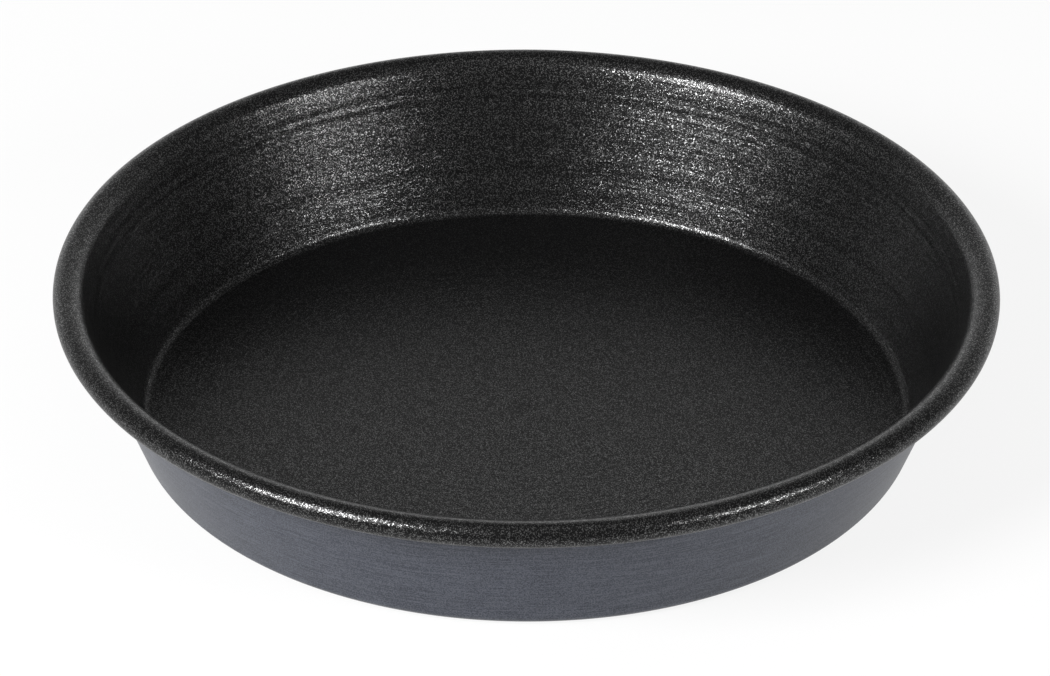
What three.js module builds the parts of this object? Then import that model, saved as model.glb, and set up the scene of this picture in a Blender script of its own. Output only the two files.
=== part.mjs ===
// A deep round pie pan: one spun metal sheet with a rim rolled over a wire, a black
// non-stick lining inside and over the rim, and a slate coat outside.
// Millimetres, +Z up. The pan stands on z = 0 with its axis on Z.
import * as THREE from "three";

// Driving dimensions
const RIM_DIAMETER = 244; // across the outside of the rolled rim
const HEIGHT = 41.5; // from the table to the top of the rim
const BASE_DIAMETER = 196; // the flat disc that the pan stands on
const CORNER_RADIUS = 2.5; // inside, where the floor turns up into the wall
const LIP_RADIUS = 5.2; // inside, where the wall turns over into the rim
const SHEET = 1; // thickness of the metal
const LINING = 0.2; // thickness of the film inside
const COAT = 0.2; // thickness of the film outside
const WIRE_DIAMETER = 4; // the hoop inside the rolled rim
const CURL_TURN = THREE.MathUtils.degToRad(245); // how far the sheet goes round the wire, from the rim's top
const COAT_STOP = 1.5; // the outside film ends this far below where the lip begins
const HAIR = 0.01; // gap between touching pieces, so that their meshes stay apart

// Steps of the curves
const TURN_STEPS = 64;
const CORNER_STEPS = 4;
const LIP_STEPS = 4;
const CURL_STEPS = 11;
const MOUTH_STEPS = 5;

// The wall is the straight line that touches the corner's arc on one side and the lip's on the other.
// The lip goes over into the tighter curl at the top of the rim.
const WALL = LINING + SHEET + COAT;
const CURL_RADIUS = WIRE_DIAMETER / 2 + SHEET + LINING;
const RIM_TOP_RADIUS = RIM_DIAMETER / 2 - CURL_RADIUS;
const cornerCentre = new THREE.Vector2(BASE_DIAMETER / 2, WALL + CORNER_RADIUS);
const lipCentre = new THREE.Vector2(RIM_TOP_RADIUS, HEIGHT - LIP_RADIUS);
const curlCentre = new THREE.Vector2(RIM_TOP_RADIUS, HEIGHT - CURL_RADIUS);
const span = lipCentre.clone().sub(cornerCentre);
const flare = Math.atan2(span.x, span.y) - Math.asin((CORNER_RADIUS + LIP_RADIUS) / span.length());
const downTheWall = new THREE.Vector2(-Math.sin(flare), -Math.cos(flare));
const lipStart = Math.PI - flare;
const rimTop = Math.PI / 2;
const curlEnd = rimTop - CURL_TURN;

// Points of an arc in the (radius, height) plane, both ends included.
function arc(centre, radius, from, to, steps) {
  const points = [];
  for (let i = 0; i <= steps; i++) {
    const angle = THREE.MathUtils.lerp(from, to, i / steps);
    points.push(new THREE.Vector2(Math.cos(angle), Math.sin(angle)).multiplyScalar(radius).add(centre));
  }
  return points;
}

// The line that lies `depth` below the food side of the pan, from the axis to where the outside film ends.
function panLine(depth) {
  const middle = new THREE.Vector2(0, WALL - depth);
  const corner = arc(cornerCentre, CORNER_RADIUS + depth, -Math.PI / 2, -flare, CORNER_STEPS);
  const [wallTop] = rimLine(depth);
  return [middle, ...corner, wallTop.addScaledVector(downTheWall, COAT_STOP)];
}

// The same line's way over the lip and around the wire, to the cut edge of the sheet.
function rimLine(depth) {
  const lip = arc(lipCentre, LIP_RADIUS - depth, lipStart, rimTop, LIP_STEPS);
  const curl = arc(curlCentre, CURL_RADIUS - depth, rimTop, curlEnd, CURL_STEPS);
  return [...lip, ...curl.slice(1)];
}

function wholeLine(depth) {
  return [...panLine(depth), ...rimLine(depth)];
}

// A layer of the pan between two depths, as an outline that starts and ends on the axis.
function layer(top, bottom, lineAt) {
  return [...lineAt(bottom), ...lineAt(top).reverse()];
}

// Turns an outline about the pan's axis.
function turned(name, outline, material) {
  const geometry = new THREE.LatheGeometry(outline, TURN_STEPS).rotateX(Math.PI / 2);
  const mesh = new THREE.Mesh(geometry, material);
  mesh.name = name;
  return mesh;
}

function panShell() {
  const metal = new THREE.MeshStandardMaterial({ color: 0xc4c7cb, roughness: 0.35, metalness: 1 });
  return turned("pan_shell", layer(LINING, LINING + SHEET, wholeLine), metal);
}

// The wire fills the curl, and its outline closes on itself across the curl's mouth.
function rimWire() {
  const steel = new THREE.MeshStandardMaterial({ color: 0x8d9096, roughness: 0.4, metalness: 1 });
  const radius = WIRE_DIAMETER / 2 - HAIR;
  const held = arc(curlCentre, radius, rimTop, curlEnd, CURL_STEPS);
  const bare = arc(curlCentre, radius, curlEnd, rimTop - 2 * Math.PI, MOUTH_STEPS);
  return turned("rim_wire", [...held, ...bare.slice(1)].reverse(), steel);
}

function nonstickLining() {
  const film = new THREE.MeshStandardMaterial({ color: 0x2a2a2b, roughness: 0.42, metalness: 0.1 });
  return turned("nonstick_lining", layer(0, LINING - HAIR, wholeLine), film);
}

function outerCoat() {
  const film = new THREE.MeshStandardMaterial({ color: 0x585d68, roughness: 0.5, metalness: 0.3 });
  return turned("outer_coat", layer(LINING + SHEET + HAIR, WALL, panLine), film);
}

const piePan = new THREE.Group();
piePan.name = "pie_pan";
piePan.add(panShell(), rimWire(), nonstickLining(), outerCoat());

export default piePan;
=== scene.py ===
import math

import bpy
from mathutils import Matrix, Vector


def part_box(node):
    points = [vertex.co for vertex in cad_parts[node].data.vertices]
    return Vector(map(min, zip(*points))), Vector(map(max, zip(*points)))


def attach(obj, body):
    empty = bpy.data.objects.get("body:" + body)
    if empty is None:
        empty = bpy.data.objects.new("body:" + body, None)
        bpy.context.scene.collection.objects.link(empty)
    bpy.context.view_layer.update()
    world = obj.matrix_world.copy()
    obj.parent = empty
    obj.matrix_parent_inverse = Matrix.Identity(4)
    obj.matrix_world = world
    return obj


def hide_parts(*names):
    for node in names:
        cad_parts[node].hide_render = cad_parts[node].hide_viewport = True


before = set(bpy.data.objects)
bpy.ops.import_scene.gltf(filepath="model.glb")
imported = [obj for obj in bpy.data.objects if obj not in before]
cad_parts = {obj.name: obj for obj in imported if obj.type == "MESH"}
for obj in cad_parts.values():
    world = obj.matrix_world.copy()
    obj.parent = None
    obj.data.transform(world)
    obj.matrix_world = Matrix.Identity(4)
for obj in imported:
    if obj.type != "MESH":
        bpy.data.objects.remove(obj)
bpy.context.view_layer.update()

# Pan shell
# One disc of soft aluminium, spun over a former into a flat base and a flared wall. Its edge is rolled
# outwards and down around a wire. Both faces are coated, and bare metal is left only under the rolled rim.
MM = 0.001
rim_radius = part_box("nonstick_lining")[1].x
pan_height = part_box("nonstick_lining")[1].z
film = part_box("pan_shell")[0].z
hair = 0.01 * MM
sheet = 1.0 * MM
base_radius = 98.0 * MM
corner_radius = 2.5 * MM
lip_radius = 5.2 * MM
wire_radius = 2.0 * MM
curl_turn = math.radians(245)
mark_fade = 2.0 * MM  # spin marks fade out over this length at both ends of the wall
merge_gap = 0.002 * MM  # points closer than this become one
cut_edge_bend = math.radians(35)  # an edge that bends more than this is a cut edge
ring_kinds = ("Low", "High", "Shoulder")  # the places on the wall where the roller left rings
ends_only = 2  # points of a plain straight line
metal_dark = (0.42, 0.43, 0.45, 1)
metal_bright = (0.72, 0.73, 0.75, 1)

wall = film + sheet + film
curl_radius = wire_radius + sheet + film
corner_centre = Vector((base_radius, 0, wall + corner_radius))
lip_centre = Vector((rim_radius - curl_radius, 0, pan_height - lip_radius))
curl_centre = Vector((rim_radius - curl_radius, 0, pan_height - curl_radius))
wall_span = lip_centre - corner_centre
wall_lean = math.atan2(wall_span.x, wall_span.z)
wall_flare = wall_lean - math.asin((corner_radius + lip_radius) / wall_span.length)


def node(tree, kind, inputs=None, output=0, **settings):
    """Adds a node and gives one of its outputs; an input is a plain value or another node's output."""
    added = tree.nodes.new(kind)
    for setting, value in settings.items():
        setattr(added, setting, value)
    for name, value in (inputs or {}).items():
        if isinstance(value, bpy.types.NodeSocket):
            tree.links.new(value, added.inputs[name])
        else:
            added.inputs[name].default_value = value
    return added.outputs[output] if len(added.outputs) else added


def calc(tree, operation, *values, clamp=False):
    """The result of one step of arithmetic."""
    return node(tree, "ShaderNodeMath", dict(enumerate(values)), operation=operation, use_clamp=clamp)


def vector(tree, operation, *values, output="Vector"):
    """The result of one step of vector arithmetic."""
    return node(tree, "ShaderNodeVectorMath", dict(enumerate(values)), output, operation=operation)


def new_tree(name, points, sizes, counts):
    """An empty geometry tree with named inputs, and their sockets."""
    tree = bpy.data.node_groups.new(name, "GeometryNodeTree")
    kinds = {"Vector": points, "Float": sizes, "Int": counts, "Material": ["Finish"]}
    for kind, names in kinds.items():
        for title in names:
            tree.interface.new_socket(title, in_out="INPUT", socket_type="NodeSocket" + kind)
    tree.interface.new_socket("Geometry", in_out="OUTPUT", socket_type="NodeSocketGeometry")
    return tree, tree.nodes.new("NodeGroupInput").outputs


def end_tree(tree, body, finish):
    """Closes a tree with a smooth, real body that has its finish on it; only cut edges stay sharp."""
    smooth = node(tree, "GeometryNodeSetShadeSmooth", {"Geometry": body, "Shade Smooth": True})
    bend = node(tree, "GeometryNodeInputMeshEdgeAngle", output="Unsigned Angle")
    cut = calc(tree, "GREATER_THAN", bend, cut_edge_bend)
    crisp = node(
        tree,
        "GeometryNodeSetShadeSmooth",
        {"Geometry": smooth, "Selection": cut, "Shade Smooth": False},
        domain="EDGE",
    )
    real = node(tree, "GeometryNodeRealizeInstances", {"Geometry": crisp})
    finished = node(tree, "GeometryNodeSetMaterial", {"Geometry": real, "Material": finish})
    node(tree, "NodeGroupOutput", {"Geometry": finished})


def layer_tree(name, rolled, marked=None):
    """
    A layer of the pan between two depths below its food side, spun about the pan's axis.
    A rolled layer goes over the lip and around the wire. The marked face has spin marks on its wall.
    """
    ring_measures = ("Height", "Spread", "Pitch", "Depth")
    tree, given = new_tree(
        name,
        points=("Corner Centre", "Lip Centre", "Curl Centre"),
        sizes=(
            "Corner Radius",
            "Lip Radius",
            "Curl Radius",
            "Wall Flare",
            "Curl Turn",
            "Stop Below Lip",
            "Upper Depth",
            "Lower Depth",
            *(f"{kind} Ring {measure}" for kind in ring_kinds for measure in ring_measures),
            "Feed Depth",
            "Feed Pitch",
        ),
        counts=("Corner Points", "Wall Points", "Lip Points", "Curl Points", "Steps Around"),
    )
    flare = given["Wall Flare"]
    sine = calc(tree, "SINE", flare)
    cosine = calc(tree, "COSINE", flare)
    outward = node(tree, "ShaderNodeCombineXYZ", {"X": cosine, "Z": calc(tree, "MULTIPLY", sine, -1)})
    upward = node(tree, "ShaderNodeCombineXYZ", {"X": sine, "Z": cosine})
    lip_start = calc(tree, "SUBTRACT", math.pi, flare)
    rim_top = math.pi / 2
    curl_end = calc(tree, "SUBTRACT", rim_top, given["Curl Turn"])

    def straight(start, end, points):
        line = node(tree, "GeometryNodeCurvePrimitiveLine", {"Start": start, "End": end}, mode="POINTS")
        return node(tree, "GeometryNodeResampleCurve", {"Curve": line, "Count": points}, mode="COUNT")

    def arc(centre, radius, start, end, points):
        lying = node(
            tree,
            "GeometryNodeCurveArc",
            {
                "Resolution": points,
                "Radius": radius,
                "Start Angle": start,
                "Sweep Angle": calc(tree, "SUBTRACT", end, start),
            },
            mode="RADIUS",
        )
        upright = {"Geometry": lying, "Translation": centre, "Rotation": (math.pi / 2, 0, 0)}
        return node(tree, "GeometryNodeTransform", upright)

    def rings(travel, kind):
        """Waves that the roller left around one height of the wall; they die out above and below it."""
        away = calc(tree, "SUBTRACT", travel, given[kind + " Ring Height"])
        turns = calc(tree, "DIVIDE", away, given[kind + " Ring Pitch"])
        reach = calc(tree, "DIVIDE", away, given[kind + " Ring Spread"])
        bell = calc(tree, "EXPONENT", calc(tree, "MULTIPLY", calc(tree, "MULTIPLY", reach, reach), -1))
        wave = calc(tree, "SINE", calc(tree, "MULTIPLY", turns, 2 * math.pi))
        return calc(tree, "MULTIPLY", calc(tree, "MULTIPLY", wave, bell), given[kind + " Ring Depth"])

    def with_marks(line):
        """The same line with the roller's waves and its finer feed marks, fading out at both ends."""
        travel = node(tree, "GeometryNodeSplineParameter", output="Length")
        rest = calc(tree, "SUBTRACT", node(tree, "GeometryNodeSplineLength", output="Length"), travel)
        fade = calc(tree, "DIVIDE", calc(tree, "MINIMUM", travel, rest), mark_fade, clamp=True)
        turns = {"W": calc(tree, "DIVIDE", travel, given["Feed Pitch"]), "Scale": 1.0, "Detail": 1.0}
        feed = node(tree, "ShaderNodeTexNoise", turns, noise_dimensions="1D")
        feed = calc(tree, "MULTIPLY", calc(tree, "SUBTRACT", feed, 0.5), given["Feed Depth"])
        waves = 0.0
        for kind in ring_kinds:
            waves = calc(tree, "ADD", waves, rings(travel, kind))
        depth = calc(tree, "MULTIPLY", calc(tree, "SUBTRACT", feed, waves), fade)
        shift = vector(tree, "MULTIPLY", outward, depth)
        return node(tree, "GeometryNodeSetPosition", {"Geometry": line, "Offset": shift})

    def face(side):
        """The stretches of the layer's line at one depth, from the axis to its edge."""
        depth = given[side]
        corner_bend = calc(tree, "ADD", given["Corner Radius"], depth)
        lip_bend = calc(tree, "SUBTRACT", given["Lip Radius"], depth)
        curl_bend = calc(tree, "SUBTRACT", given["Curl Radius"], depth)
        down = node(tree, "ShaderNodeCombineXYZ", {"Z": calc(tree, "MULTIPLY", corner_bend, -1)})
        floor_edge = vector(tree, "ADD", given["Corner Centre"], down)
        floor_middle = vector(tree, "MULTIPLY", floor_edge, (0, 0, 1))
        wall_foot = vector(tree, "MULTIPLY_ADD", outward, corner_bend, given["Corner Centre"])
        to_lip = vector(tree, "MULTIPLY", outward, lip_bend)
        stop = vector(tree, "MULTIPLY", upward, given["Stop Below Lip"])
        wall_top = vector(tree, "SUBTRACT", vector(tree, "SUBTRACT", given["Lip Centre"], to_lip), stop)
        floor = straight(floor_middle, floor_edge, ends_only)
        corner_turn = calc(tree, "MULTIPLY", flare, -1)
        corner = arc(given["Corner Centre"], corner_bend, -math.pi / 2, corner_turn, given["Corner Points"])
        if side == marked:
            wall_line = with_marks(straight(wall_foot, wall_top, given["Wall Points"]))
        else:
            wall_line = straight(wall_foot, wall_top, ends_only)
        if not rolled:
            return [floor, corner, wall_line]
        lip = arc(given["Lip Centre"], lip_bend, lip_start, rim_top, given["Lip Points"])
        curl = arc(given["Curl Centre"], curl_bend, rim_top, curl_end, given["Curl Points"])
        return [floor, corner, wall_line, lip, curl]

    there = face("Upper Depth")
    back = []
    for stretch in reversed(face("Lower Depth")):
        back.append(node(tree, "GeometryNodeReverseCurve", {"Curve": stretch}))
    joined = tree.nodes.new("GeometryNodeJoinGeometry")
    for stretch in reversed(there + back):
        tree.links.new(stretch, joined.inputs[0])
    outline = node(tree, "GeometryNodeCurveToPoints", {"Curve": joined.outputs[0]}, mode="EVALUATED")

    columns = calc(tree, "ADD", given["Steps Around"], 1)
    rows = node(tree, "GeometryNodeAttributeDomainSize", {"Geometry": outline}, component="POINTCLOUD")
    grid = node(tree, "GeometryNodeMeshGrid", {"Vertices X": rows, "Vertices Y": columns})
    index = node(tree, "GeometryNodeInputIndex")
    row = node(tree, "FunctionNodeIntegerMath", {0: index, 1: columns}, operation="DIVIDE_FLOOR")
    column = node(tree, "FunctionNodeIntegerMath", {0: index, 1: columns}, operation="MODULO")
    place = node(
        tree,
        "GeometryNodeSampleIndex",
        {"Geometry": outline, "Value": node(tree, "GeometryNodeInputPosition"), "Index": row},
        data_type="FLOAT_VECTOR",
    )
    turn = calc(tree, "DIVIDE", calc(tree, "MULTIPLY", column, 2 * math.pi), given["Steps Around"])
    spun = node(tree, "ShaderNodeVectorRotate", {"Vector": place, "Angle": turn}, rotation_type="Z_AXIS")
    body = node(tree, "GeometryNodeSetPosition", {"Geometry": grid, "Position": spun})
    closed = node(tree, "GeometryNodeMergeByDistance", {"Geometry": body, "Distance": merge_gap})
    end_tree(tree, closed, given["Finish"])
    return tree


def made_by(tree, name, sizes):
    """A plain mesh object made by a geometry tree, whose inputs are given by name."""
    maker = bpy.data.objects.new(name + "_maker", bpy.data.meshes.new(name + "_maker"))
    bpy.context.collection.objects.link(maker)
    modifier = maker.modifiers.new("maker", "NODES")
    modifier.node_group = tree
    for item in tree.interface.items_tree:
        if item.in_out == "INPUT" and item.name in sizes:
            modifier[item.identifier] = sizes[item.name]
    bpy.context.view_layer.update()
    mesh = bpy.data.meshes.new_from_object(maker.evaluated_get(bpy.context.evaluated_depsgraph_get()))
    bpy.data.objects.remove(maker)
    mesh.name = name
    piece = bpy.data.objects.new(name, mesh)
    bpy.context.collection.objects.link(piece)
    return piece


pan_sizes = {
    "Corner Centre": corner_centre,
    "Corner Radius": corner_radius,
    "Lip Centre": lip_centre,
    "Lip Radius": lip_radius,
    "Curl Centre": curl_centre,
    "Curl Radius": curl_radius,
    "Wall Flare": wall_flare,
    "Curl Turn": curl_turn,
    "Corner Points": 13,
    "Wall Points": 121,
    "Lip Points": 13,
    "Curl Points": 29,
    "Steps Around": 320,
}


def new_finish(name):
    """An empty finish, with its tree and its main shader."""
    finish = bpy.data.materials.new(name)
    finish.use_nodes = True
    return finish, finish.node_tree, finish.node_tree.nodes["Principled BSDF"]


def spin_marks(tree, around, across, detail):
    """Noise drawn out around the axis, in cells per radian around the pan and cells per metre across it."""
    place = node(tree, "ShaderNodeTexCoord", output="Object")
    level = vector(tree, "MULTIPLY", place, (1, 1, 0))
    radius = vector(tree, "LENGTH", level, output="Value")
    height = node(tree, "ShaderNodeSeparateXYZ", {"Vector": place}, "Z")
    travel = calc(tree, "MULTIPLY", calc(tree, "ADD", radius, height), across)
    heading = vector(tree, "MULTIPLY", vector(tree, "NORMALIZE", level), (around, around, 0))
    drawn = vector(tree, "ADD", heading, node(tree, "ShaderNodeCombineXYZ", {"Z": travel}))
    return node(tree, "ShaderNodeTexNoise", {"Vector": drawn, "Scale": 1.0, "Detail": detail})


def two_tones(tree, amount, low, high, start, end):
    """A colour that goes from one tone to another."""
    ramp = node(tree, "ShaderNodeValToRGB", {"Fac": amount})
    first, last = ramp.node.color_ramp.elements
    first.position, first.color = start, low
    last.position, last.color = end, high
    return ramp


def bare_metal():
    """Aluminium with the fine turned lines of the spinning tool."""
    finish, tree, shader = new_finish("bare_metal")
    marks = spin_marks(tree, around=4, across=3000, detail=4)
    tone = two_tones(tree, marks, metal_dark, metal_bright, start=0.3, end=0.7)
    grain = node(tree, "ShaderNodeBump", {"Strength": 0.4, "Distance": 0.01 * MM, "Height": marks})
    tree.links.new(tone, shader.inputs["Base Color"])
    tree.links.new(grain, shader.inputs["Normal"])
    shader.inputs["Metallic"].default_value = 1.0
    shader.inputs["Roughness"].default_value = 0.34
    return finish


shell = made_by(
    layer_tree("spun_sheet", rolled=True),
    "spun_shell",
    pan_sizes | {"Upper Depth": film, "Lower Depth": film + sheet, "Finish": bare_metal()},
)
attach(shell, "root")
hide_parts("pan_shell")

# Rim wire
# A hoop of drawn steel wire that the rim is rolled around, so that the pan stays round and flat.
# Its ends are butted and welded, and it shows only in the mouth of the rolled rim, from below.
steel_dark = (0.2, 0.2, 0.21, 1)
steel_light = (0.42, 0.42, 0.44, 1)


def hoop_tree():
    """A wire bent into a level ring."""
    tree, given = new_tree(
        "wire_hoop",
        points=(),
        sizes=("Hoop Radius", "Height", "Wire Radius"),
        counts=("Steps Around", "Section Points"),
    )
    ring = {"Resolution": given["Steps Around"], "Radius": given["Hoop Radius"]}
    section = {"Resolution": given["Section Points"], "Radius": given["Wire Radius"]}
    wire_line = node(tree, "GeometryNodeCurvePrimitiveCircle", ring)
    wire_section = node(tree, "GeometryNodeCurvePrimitiveCircle", section)
    bent = node(tree, "GeometryNodeCurveToMesh", {"Curve": wire_line, "Profile Curve": wire_section})
    lift = node(tree, "ShaderNodeCombineXYZ", {"Z": given["Height"]})
    raised = node(tree, "GeometryNodeTransform", {"Geometry": bent, "Translation": lift})
    end_tree(tree, raised, given["Finish"])
    return tree


def wire_steel():
    """Drawn steel, greyed by the heat of the oven."""
    finish, tree, shader = new_finish("wire_steel")
    place = node(tree, "ShaderNodeTexCoord", output="Object")
    stain = node(tree, "ShaderNodeTexNoise", {"Vector": place, "Scale": 400.0, "Detail": 3.0})
    tone = two_tones(tree, stain, steel_dark, steel_light, start=0.3, end=0.7)
    tree.links.new(tone, shader.inputs["Base Color"])
    shader.inputs["Metallic"].default_value = 1.0
    shader.inputs["Roughness"].default_value = 0.4
    return finish


wire = made_by(
    hoop_tree(),
    "rim_hoop",
    {
        "Hoop Radius": curl_centre.x,
        "Height": curl_centre.z,
        "Wire Radius": wire_radius - hair,
        "Steps Around": 256,
        "Section Points": 24,
        "Finish": wire_steel(),
    },
)
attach(wire, "root")
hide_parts("rim_wire")

# Non-stick lining
# A black baked film with fine metal flakes in it, sprayed over the floor, up the inside of the wall and
# right over the rolled rim. It follows the shallow rings that the spinning roller left in the wall, low down
# and near the top, and the finer marks between them.
lining_black = (0.0035, 0.0035, 0.0036, 1)
flake_grey = (0.19, 0.19, 0.19, 1)
flake_share = 0.19
film_tilt, flake_tilt = 0.1, 0.2
grain_size = 0.19 * MM
streak_relief = 0.11 * MM
lining_marks = {
    "Low Ring Height": 11.2 * MM,
    "Low Ring Spread": 10.0 * MM,
    "Low Ring Pitch": 8.4 * MM,
    "Low Ring Depth": 0.035 * MM,
    "High Ring Height": 31.9 * MM,
    "High Ring Spread": 2.8 * MM,
    "High Ring Pitch": 3.4 * MM,
    "High Ring Depth": -0.033 * MM,
    "Shoulder Ring Height": 32.4 * MM,
    "Shoulder Ring Spread": 6.0 * MM,
    "Shoulder Ring Pitch": 14.0 * MM,
    "Shoulder Ring Depth": 0.05 * MM,
    "Feed Depth": 0.03 * MM,
    "Feed Pitch": 2.2 * MM,
}


def black_nonstick():
    """Satin black with a fine glitter: each grain of the film has its own tilt, and some hold a flake."""
    finish, tree, shader = new_finish("black_nonstick")
    place = node(tree, "ShaderNodeTexCoord", output="Object")
    grain = node(tree, "ShaderNodeTexVoronoi", {"Vector": place, "Scale": 1 / grain_size}, "Color")
    draw = node(tree, "ShaderNodeTexWhiteNoise", {"Vector": grain})
    flake = calc(tree, "LESS_THAN", draw, flake_share)
    tone = two_tones(tree, flake, lining_black, flake_grey, start=0, end=1)
    marks = spin_marks(tree, around=5, across=600, detail=3)
    relief = node(tree, "ShaderNodeBump", {"Strength": 1.0, "Distance": streak_relief, "Height": marks})
    lean = vector(tree, "SUBTRACT", grain, (0.5, 0.5, 0.5))
    tilt = node(tree, "ShaderNodeMix", {"Factor": flake, "A": film_tilt, "B": flake_tilt})
    lean = vector(tree, "MULTIPLY_ADD", lean, tilt, relief)
    tree.links.new(tone, shader.inputs["Base Color"])
    tree.links.new(flake, shader.inputs["Metallic"])
    tree.links.new(vector(tree, "NORMALIZE", lean), shader.inputs["Normal"])
    shader.inputs["Roughness"].default_value = 0.3
    shader.inputs["IOR"].default_value = 1.29
    return finish


lining = made_by(
    layer_tree("sprayed_lining", rolled=True, marked="Upper Depth"),
    "nonstick_film",
    pan_sizes
    | lining_marks
    | {"Upper Depth": 0.0, "Lower Depth": film - hair, "Finish": black_nonstick()},
)
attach(lining, "root")
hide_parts("nonstick_lining")

# Outer coat
# A thin matt slate film on the outside of the wall and under the base, ending just below the rolled rim.
# It follows the fine rings that spinning left in the metal.
slate = (0.015, 0.0185, 0.03, 1)
slate_light = (0.065, 0.071, 0.09, 1)
streak_share = 0.5
speckles_per_metre = 2900.0
coat_relief = 0.03 * MM
coat_marks = {
    "Stop Below Lip": 1.5 * MM,
    "Feed Depth": 0.03 * MM,
    "Feed Pitch": 1.3 * MM,
}


def slate_coat():
    """Matt slate grey, streaked around the pan by the turned metal under it."""
    finish, tree, shader = new_finish("slate_coat")
    streaks = spin_marks(tree, around=10, across=3200, detail=2)
    place = node(tree, "ShaderNodeTexCoord", output="Object")
    speckle = node(tree, "ShaderNodeTexNoise", {"Vector": place, "Scale": speckles_per_metre, "Detail": 0.0})
    streaks = calc(tree, "MULTIPLY", streaks, streak_share)
    mottle = calc(tree, "MULTIPLY_ADD", speckle, 1 - streak_share, streaks)
    tone = two_tones(tree, mottle, slate, slate_light, start=0.42, end=0.58)
    grain = node(tree, "ShaderNodeBump", {"Strength": 0.8, "Distance": coat_relief, "Height": mottle})
    tree.links.new(tone, shader.inputs["Base Color"])
    tree.links.new(grain, shader.inputs["Normal"])
    shader.inputs["Roughness"].default_value = 0.35
    shader.inputs["IOR"].default_value = 1.38
    return finish


coat = made_by(
    layer_tree("sprayed_coat", rolled=False, marked="Lower Depth"),
    "slate_film",
    pan_sizes
    | coat_marks
    | {"Upper Depth": film + sheet + hair, "Lower Depth": wall, "Finish": slate_coat()},
)
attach(coat, "root")
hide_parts("outer_coat")

# Studio
# A plain white table, a hair below the pan, with a softbox on each side of the camera and a weak panel above.
# The room is grey on the camera's side, and behind the pan it is pale near the table and darker above.
room_front = 0.27  # strengths of the room's light, where 1 is white
room_back = 1.3
room_high = 0.17
room_turn_start, room_turn_end = 0.3, 0.9  # how far backwards a direction points where the room turns pale
room_dark_from = 0.76  # how far upwards a direction points where the room is darkest
table_half = 3.0
table_white = (0.9, 0.9, 0.9, 1)
table_glow = 0.85  # the share of the table's white that no shadow takes away
table_near = 0.85  # strengths of the table in reflections, beside the pan and far in front of it
table_far = 0.02
table_fade_near, table_fade_far = -0.17, -0.3
lamp_distance = 1.4


def room_light():
    """Grey in front, and behind the pan a pale sweep that darkens upwards."""
    world = bpy.data.worlds.new("room")
    world.use_nodes = True
    tree = world.node_tree
    look = node(tree, "ShaderNodeTexCoord", output="Generated")
    depth = node(tree, "ShaderNodeSeparateXYZ", {"Vector": look}, "Y")
    rise = depth.node.outputs["Z"]
    turn = {"Value": depth, "From Min": room_turn_start, "From Max": room_turn_end}
    behind = node(tree, "ShaderNodeMapRange", turn)
    above = node(tree, "ShaderNodeMapRange", {"Value": rise, "From Min": 0.0, "From Max": room_dark_from})
    low = node(tree, "ShaderNodeMix", {"Factor": behind, "A": room_front, "B": room_back})
    level = {"Factor": above, "A": low, "B": room_high}
    tree.links.new(node(tree, "ShaderNodeMix", level), tree.nodes["Background"].inputs["Strength"])
    tree.nodes["Background"].inputs["Color"].default_value = (1, 1, 1, 1)
    return world


def white_table():
    """Matt white, almost full white to the camera; in reflections it fades out in front of the pan."""
    finish, tree, shader = new_finish("white_table")
    shader.inputs["Base Color"].default_value = table_white
    shader.inputs["Roughness"].default_value = 0.9
    shader.inputs["Specular IOR Level"].default_value = 0.1
    ray = tree.nodes.new("ShaderNodeLightPath").outputs
    place = node(tree, "ShaderNodeTexCoord", output="Object")
    depth = node(tree, "ShaderNodeSeparateXYZ", {"Vector": place}, "Y")
    front = {"Value": depth, "From Min": table_fade_far, "From Max": table_fade_near}
    reflected = node(tree, "ShaderNodeMapRange", front | {"To Min": table_far, "To Max": table_near})
    strength = node(tree, "ShaderNodeMix", {"Factor": ray["Is Camera Ray"], "A": reflected, "B": 1.0})
    seen = calc(tree, "MAXIMUM", ray["Is Camera Ray"], ray["Is Glossy Ray"])
    seen = calc(tree, "MAXIMUM", seen, ray["Is Transmission Ray"])
    share = calc(tree, "MULTIPLY", seen, table_glow)
    glow = node(tree, "ShaderNodeEmission", {"Strength": strength})
    mixed = node(tree, "ShaderNodeMixShader", {0: share, 1: shader.outputs[0], 2: glow})
    tree.links.new(mixed, tree.nodes["Material Output"].inputs["Surface"])
    return finish


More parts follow.
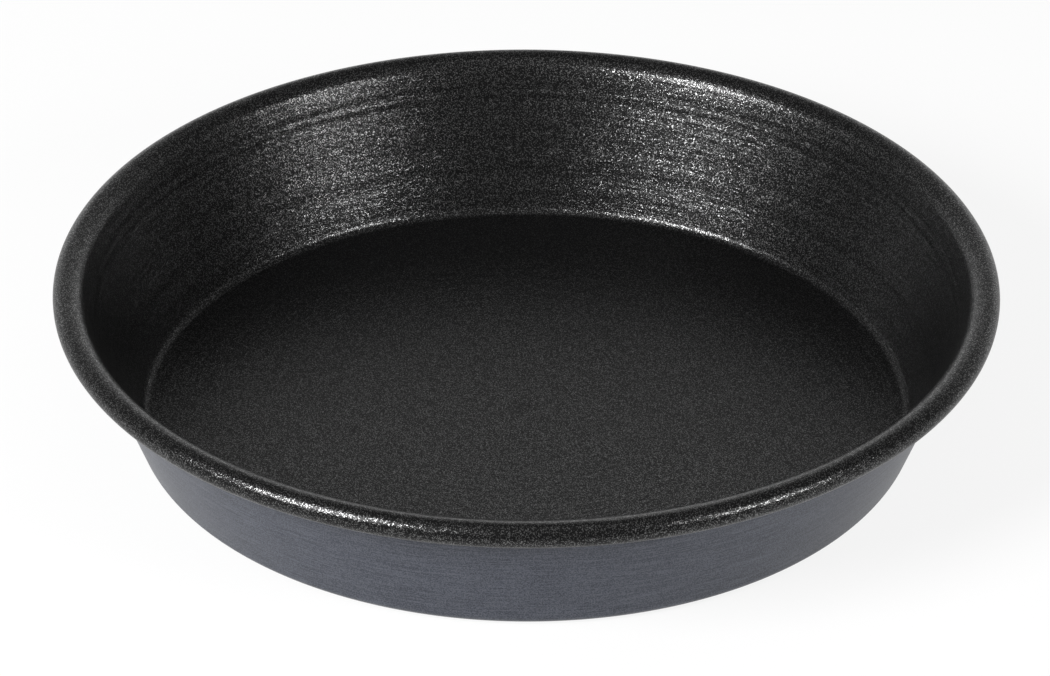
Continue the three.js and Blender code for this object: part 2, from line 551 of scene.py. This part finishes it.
def softbox(name, azimuth, elevation, width, tall, radiance):
    """A lamp panel that faces the pan; azimuth is 0 on the camera's side and positive to the right."""
    lamp = bpy.data.lights.new(name, "AREA")
    lamp.shape = "ELLIPSE"
    lamp.size = width
    lamp.size_y = tall
    lamp.energy = radiance * math.pi * (math.pi / 4 * width * tall)
    turn = math.radians(azimuth)
    rise = math.radians(elevation)
    out = Vector((math.sin(turn) * math.cos(rise), -math.cos(turn) * math.cos(rise), math.sin(rise)))
    stand = bpy.data.objects.new(name, lamp)
    stand.location = out * lamp_distance
    stand.rotation_euler = out.to_track_quat("Z", "Y").to_euler()
    stand.visible_camera = False
    bpy.context.collection.objects.link(stand)


bpy.context.scene.world = room_light()
table_mesh = bpy.data.meshes.new("table")
corners = [(x * table_half, y * table_half, -hair) for x, y in ((-1, -1), (1, -1), (1, 1), (-1, 1))]
table_mesh.from_pydata(corners, [], [(0, 1, 2, 3)])
table_mesh.materials.append(white_table())
table = bpy.data.objects.new("table", table_mesh)
bpy.context.collection.objects.link(table)
softbox("left_softbox", azimuth=-50, elevation=34, width=0.68, tall=0.58, radiance=26)
softbox("right_softbox", azimuth=55, elevation=26, width=0.48, tall=0.4, radiance=17.5)
softbox("top_panel", azimuth=0, elevation=80, width=1.1, tall=1.1, radiance=0.3)

# Camera
# A long lens 1.7 m away, 31 degrees above the table, aimed near the middle of the pan's height and turned
# very slightly about its own axis. The lens and its sensor are in millimetres, as Blender takes them.
eye_rise = math.radians(31.325)
eye_distance = 1.708
eye_roll = math.radians(0.207)
focal_length = 225.86
sensor_width = 36.0
aim = Vector((-0.32 * MM, 0, 22.007 * MM))

lens = bpy.data.cameras.new("camera")
lens.sensor_fit = "HORIZONTAL"
lens.sensor_width = sensor_width
lens.lens = focal_length
eye = bpy.data.objects.new("camera", lens)
eye.location = aim + eye_distance * Vector((0, -math.cos(eye_rise), math.sin(eye_rise)))
eye.rotation_mode = "ZYX"
eye.rotation_euler = (math.pi / 2 - eye_rise, 0, eye_roll)
bpy.context.collection.objects.link(eye)
bpy.context.scene.camera = eye
bpy.context.scene.view_settings.view_transform = "Standard"
